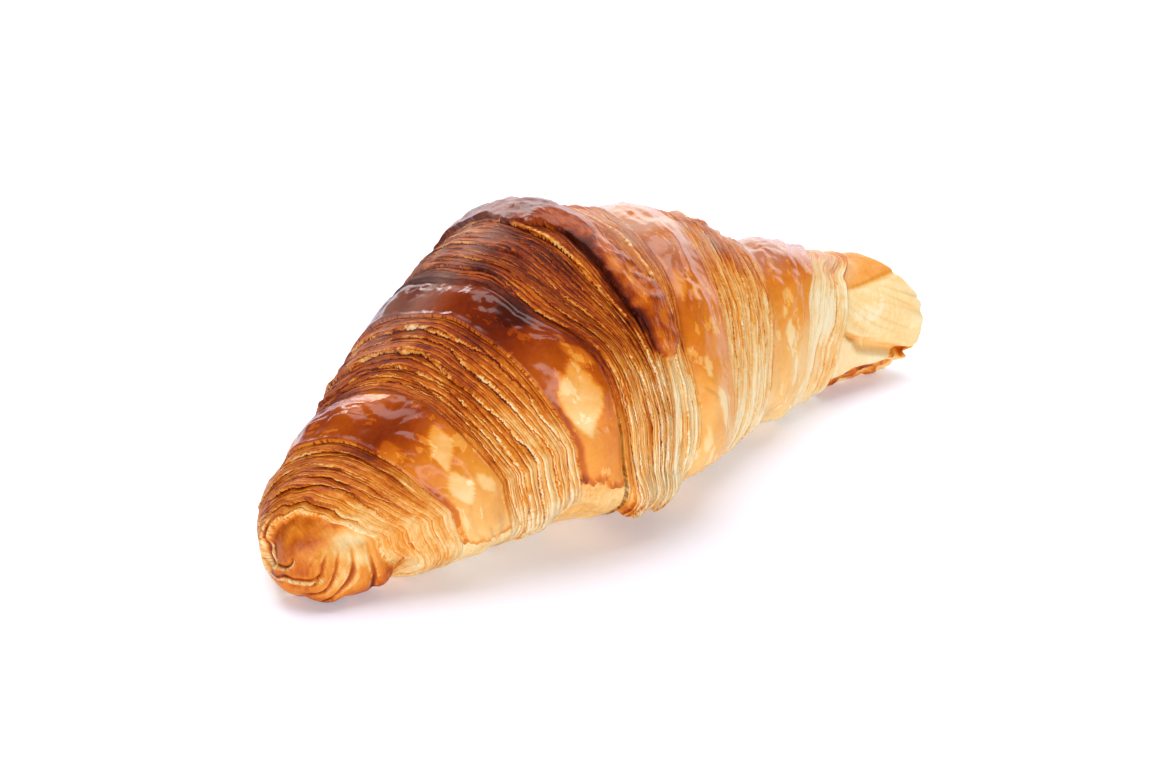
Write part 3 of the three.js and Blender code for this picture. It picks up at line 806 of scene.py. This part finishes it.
class Nodes:
    def __init__(self, name):
        self.material = bpy.data.materials.new(name)
        self.material.use_nodes = True
        self.tree = self.material.node_tree
        self.shader = self.tree.nodes["Principled BSDF"]

    def add(self, kind, **settings):
        node = self.tree.nodes.new(kind)
        for key, value in settings.items():
            setattr(node, key, value)
        return node

    def link(self, source, target):
        self.tree.links.new(source, target)

    def math(self, operation, a, b=None, clamp=False):
        node = self.add("ShaderNodeMath", operation=operation, use_clamp=clamp)
        for socket, value in zip(node.inputs, (a, b)):
            if value is None:
                continue
            if isinstance(value, (int, float)):
                socket.default_value = value
            else:
                self.link(value, socket)
        return node.outputs[0]

    # The sum of a value and a share of another one.
    def plus(self, value, other, share):
        return self.math("ADD", value, self.math("MULTIPLY", other, share))

    # The same, with the other one centred on a half.
    def sway(self, value, other, share):
        return self.plus(value, self.math("SUBTRACT", other, 0.5), share)

    def attribute(self, name, output="Fac"):
        return self.add("ShaderNodeAttribute", attribute_name=name).outputs[output]

    def noise(self, vector, scale, detail, roughness=0.5):
        node = self.add("ShaderNodeTexNoise")
        node.inputs["Scale"].default_value = scale
        node.inputs["Detail"].default_value = detail
        node.inputs["Roughness"].default_value = roughness
        self.link(vector, node.inputs["Vector"])
        return node.outputs["Fac"]

    # Noise that is drawn out along or round the roll.
    def drawn_noise(self, vector, scale, detail, roughness):
        node = self.add("ShaderNodeVectorMath", operation="MULTIPLY")
        node.inputs[1].default_value = scale
        self.link(vector, node.inputs[0])
        return self.noise(node.outputs[0], 1.0, detail, roughness)

    # From one value to another while the input goes from low to high, slow at both ends.
    def span(self, value, low, high, to_low, to_high):
        node = self.add("ShaderNodeMapRange", interpolation_type="SMOOTHSTEP")
        node.inputs["From Min"].default_value = low
        node.inputs["From Max"].default_value = high
        node.inputs["To Min"].default_value = to_low
        node.inputs["To Max"].default_value = to_high
        self.link(value, node.inputs["Value"])
        return node.outputs["Result"]


# The rims of layers and the painted shade in the crevice just before each rim, from their phase: thin lines,
# the rims broken and bright only in places.
def layer_lines(n, phase, flow, rim_width, gap_width, seed):
    wiggle = n.drawn_noise(flow, (0.6, 1.5, 1.0), 2.0, 0.6)
    phase = n.sway(phase, wiggle, 0.35)
    part = n.math("FRACT", phase)
    number = n.math("FLOOR", phase)
    place = n.add("ShaderNodeCombineXYZ")
    n.link(n.math("ADD", n.math("MULTIPLY", number, 5.37), seed), place.inputs["X"])
    split = n.add("ShaderNodeSeparateXYZ")
    n.link(flow, split.inputs[0])
    n.link(n.math("MULTIPLY", split.outputs["Y"], 0.16), place.inputs["Y"])
    own = n.noise(place.outputs[0], 1.0, 3.0, 0.7)
    rim = n.span(part, 0.3 * rim_width, rim_width, 1.0, 0.0)
    rim = n.math("MULTIPLY", rim, n.span(own, 0.40, 0.58, 0.0, 1.0))
    gap = n.span(part, 1.0 - gap_width, 1.0 - 0.3 * gap_width, 0.0, 1.0)
    return part, own, rim, gap


# The colour of a tone, with the painted sheen mixed over it.
def crust_colour(n, tone):
    ramp = n.add("ShaderNodeValToRGB")
    stops = ramp.color_ramp.elements
    stops[0].position, stops[0].color = BAKED[0][0], srgb(BAKED[0][1])
    stops[1].position, stops[1].color = BAKED[-1][0], srgb(BAKED[-1][1])
    for position, code in BAKED[1:-1]:
        stops.new(position).color = srgb(code)
    n.link(tone, ramp.inputs["Fac"])
    sheen_mix = n.add("ShaderNodeMix", data_type="RGBA")
    share, under, over = sheen_mix.inputs[0], sheen_mix.inputs[6], sheen_mix.inputs[7]
    n.link(n.math("MULTIPLY", n.attribute("bloom"), PAINTED_SHEEN_SHARE), share)
    n.link(ramp.outputs["Color"], under)
    over.default_value = srgb(PAINTED_SHEEN_COLOUR)
    return sheen_mix.outputs[2]


def crust_material():
    n = Nodes("baked_crust")
    place = n.add("ShaderNodeTexCoord").outputs["Object"]
    flow = n.attribute("flow", "Vector")
    ply, rim, gap = n.attribute("ply"), n.attribute("rim"), n.attribute("gap")
    brown, lined = n.attribute("brown"), n.attribute("lined")
    skin = n.math("SUBTRACT", 1.0, ply, clamp=True)

    leaves = n.drawn_noise(flow, (3.4, 0.14, 1.0), 3.0, 0.6)
    flecks = n.drawn_noise(flow, (1.3, 0.5, 1.0), 4.0, 0.7)
    crumbs = n.drawn_noise(flow, (2.1, 1.3, 1.0), 2.0, 0.6)
    mottle = n.drawn_noise(flow, (0.30, 0.13, 1.0), 5.0, 0.62)
    cloud = n.noise(place, 75.0, 3.0)
    speck = n.noise(place, 900.0, 3.0, 0.6)
    ledge_part, _, ledge_rim, ledge_gap_shade = layer_lines(n, n.attribute("ledge"), flow, 0.15, 0.15, 3.1)
    leaf_part, leaf_own, leaf_rim, leaf_gap_shade = layer_lines(n, n.attribute("leaf"), flow, 0.32, 0.34, 9.7)

    tone = n.sway(brown, cloud, CLOUD_TONE)
    tone = n.sway(tone, leaves, n.math("MULTIPLY", ply, LEAVES_TONE))
    tone = n.sway(tone, flecks, n.math("MULTIPLY", ply, FLECKS_TONE))
    tone = n.sway(tone, leaf_own, n.math("MULTIPLY", lined, OWN_TONE))
    lines = n.math("MULTIPLY", ledge_rim, LEDGE_RIM_TONE)
    lines = n.plus(lines, leaf_rim, LEAF_RIM_TONE)
    # Painted shade in the crevice before each rim of a ply or leaf.
    lines = n.plus(lines, ledge_gap_shade, LEDGE_GAP_SHADE_TONE)
    lines = n.plus(lines, leaf_gap_shade, LEAF_GAP_SHADE_TONE)
    tone = n.plus(tone, lines, lined)
    tone = n.plus(tone, n.span(mottle, 0.58, 0.60, 0.0, BLISTER_TONE), skin)
    tone = n.plus(tone, n.span(crumbs, 0.36, 0.52, 0.05, RIM_TONE), rim)
    # Painted shade: the crust is darkened in gaps, creases and grooves.
    tone = n.plus(tone, gap, GAP_SHADE_TONE)
    specks = n.math("MULTIPLY", n.math("SUBTRACT", speck, 0.5), SPECK_TONE)
    tone = n.math("ADD", tone, specks, clamp=True)
    n.link(crust_colour(n, tone), n.shader.inputs["Base Color"])

    rough = n.math("ADD", n.math("MULTIPLY", ply, 0.28), 0.24)
    n.link(n.sway(rough, mottle, 0.2), n.shader.inputs["Roughness"])
    n.shader.inputs["Specular IOR Level"].default_value = 0.12
    glaze = n.math("MULTIPLY", skin, n.span(brown, 0.30, 0.60, 0.06, 0.30))
    n.link(glaze, n.shader.inputs["Coat Weight"])
    n.shader.inputs["Coat Roughness"].default_value = 0.13

    layered = n.plus(n.math("MULTIPLY", ledge_part, -0.35), leaf_part, -0.30)
    height = n.math("MULTIPLY", n.sway(layered, leaves, 0.5), lined)
    height = n.plus(height, n.noise(place, 330.0, 4.0, 0.55), 0.30)
    height = n.plus(height, crumbs, n.math("MULTIPLY", ply, 0.6))
    height = n.plus(height, speck, n.math("MULTIPLY", ply, 0.25))
    bumps = n.add("ShaderNodeBump")
    bumps.inputs["Strength"].default_value = 0.6
    bumps.inputs["Distance"].default_value = 0.0007
    n.link(height, bumps.inputs["Height"])
    n.link(bumps.outputs["Normal"], n.shader.inputs["Normal"])
    n.link(bumps.outputs["Normal"], n.shader.inputs["Coat Normal"])
    return n.material


# The mesh is cut into closed pieces at creases between wraps: each piece's name and the top share of its end.
PIECES = [
    ("croissant_near_wraps", 0.305),
    ("croissant_outer_wrap", 0.605),
    ("croissant_far_wraps", 0.82),
    ("croissant_far_tip", None),
]


# The grid goes to metres and exactly into the box of the CAD model, and from there into pieces.
def build_croissant():
    crust = crust_material()
    grid = croissant_grid()
    low, high = grid.points.min(axis=(0, 1)), grid.points.max(axis=(0, 1))
    cad_low, cad_high = np.array(cad_box[0]), np.array(cad_box[1])
    grid.points = cad_low + (grid.points - low) / (high - low) * (cad_high - cad_low)
    normals = grid_normals(grid.points)
    first = 0
    for name, end in PIECES:
        last = len(grid.top_rows) - 1 if end is None else int(np.searchsorted(grid.top_rows, end))
        piece = make_piece(name, grid, normals, first, last + 1, crust)
        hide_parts("croissant")
        first = last


FLOOR_SIZE = 6


def build_floor():
    bpy.ops.mesh.primitive_plane_add(size=FLOOR_SIZE)
    floor = bpy.context.active_object
    floor.name = "floor"
    n = Nodes("floor_white")
    n.shader.inputs["Base Color"].default_value = (0.83, 0.83, 0.97, 1)
    n.shader.inputs["Roughness"].default_value = 0.9
    n.shader.inputs["Specular IOR Level"].default_value = 0.1
    n.shader.inputs["Emission Color"].default_value = (1, 1, 1, 1)
    n.shader.inputs["Emission Strength"].default_value = 0.24
    floor.data.materials.append(n.material)


# The camera, in metres and radians. The length of its lens is given in pixels of the photograph.
CAMERA_AZIMUTH = math.radians(-38.5)
CAMERA_ELEVATION = math.radians(29.5)
CAMERA_DISTANCE = 0.600
CAMERA_TARGET = Vector((-0.00615, -0.00631, 0.02273))
PICTURE_WIDTH = 1170
LENS_PIXELS = 2711
SENSOR_WIDTH = 36  # millimetres
# From the target back to the camera.
BACK = Vector((
    math.sin(CAMERA_AZIMUTH) * math.cos(CAMERA_ELEVATION),
    -math.cos(CAMERA_AZIMUTH) * math.cos(CAMERA_ELEVATION),
    math.sin(CAMERA_ELEVATION),
))


def build_camera():
    camera = bpy.data.objects.new("camera", bpy.data.cameras.new("camera"))
    bpy.context.scene.collection.objects.link(camera)
    camera.location = CAMERA_TARGET + BACK * CAMERA_DISTANCE
    camera.rotation_euler = (-BACK).to_track_quat("-Z", "Y").to_euler()
    camera.data.sensor_width = SENSOR_WIDTH
    camera.data.lens = LENS_PIXELS * SENSOR_WIDTH / PICTURE_WIDTH
    bpy.context.scene.camera = camera


# A place in the camera's terms: to its right, up, and back towards it, in metres from the croissant.
def from_camera(right, up, towards):
    level = Vector((BACK.x, BACK.y, 0)).normalized()
    across = Vector((math.cos(CAMERA_AZIMUTH), math.sin(CAMERA_AZIMUTH), 0))
    return across * right + level * towards + Vector((0, 0, up))


# A soft box of some width and height, aimed at a level above the middle of the floor.
def area_light(name, place, size, watts, level=0.02):
    light = bpy.data.lights.new(name, "AREA")
    light.shape = "RECTANGLE"
    light.size, light.size_y = size
    light.energy = watts
    holder = bpy.data.objects.new(name, light)
    bpy.context.scene.collection.objects.link(holder)
    holder.location = place
    holder.rotation_euler = (Vector((0, 0, level)) - place).to_track_quat("-Z", "Y").to_euler()


def build_studio():
    area_light("light_back", from_camera(-0.55, 0.62, -0.80), (0.34, 0.24), 3.2)
    area_light("light_low_back", from_camera(0.25, 0.42, -1.4), (2.6, 0.8), 16, level=0.05)
    area_light("light_top", from_camera(0.0, 1.35, -0.35), (1.6, 0.9), 22)
    area_light("light_front", from_camera(0.1, 0.28, 1.7), (2.6, 0.5), 29, level=0.03)
    world = bpy.data.worlds.new("studio")
    bpy.context.scene.world = world
    world.use_nodes = True
    world.node_tree.nodes["Background"].inputs["Color"].default_value = (1, 1, 1, 1)
    world.node_tree.nodes["Background"].inputs["Strength"].default_value = 0.16
    bpy.context.scene.view_settings.view_transform = "Standard"


build_croissant()
build_floor()
build_studio()
build_camera()
